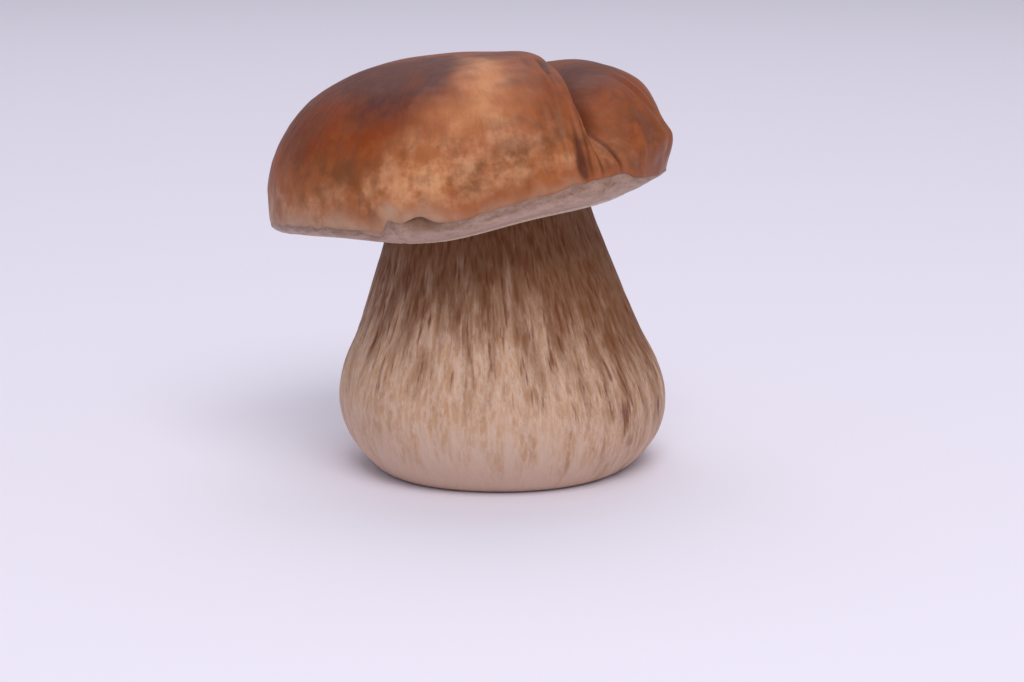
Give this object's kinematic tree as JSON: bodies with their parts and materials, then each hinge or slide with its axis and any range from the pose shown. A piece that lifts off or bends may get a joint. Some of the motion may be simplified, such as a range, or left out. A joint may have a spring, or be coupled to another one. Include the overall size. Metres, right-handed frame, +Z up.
{
  "type": "porcini mushroom",
  "caption": "Whole fresh porcini with a stout netted stem cut flat at the foot, a pale layer of pores and a folded brown cap.",
  "frame": {"origin": "centre of the stem's flat cut foot, on the surface that it stands on", "axes": "+Z up through the stem to the crown, +X to the right and -Y towards the viewer, as in the picture"},
  "size_m": [0.1088, 0.103, 0.1115],
  "materials": {
    "cap_skin": "smooth brown skin with a soft satin shine",
    "pores": "pale matte layer of fine pores",
    "stem_flesh": "matte cream flesh with a raised pale net over brown"
  },
  "bodies": {
    "root": {"cap": "cap_skin", "pore_layer": "pores", "stem": "stem_flesh"}
  },
  "joints": []
}
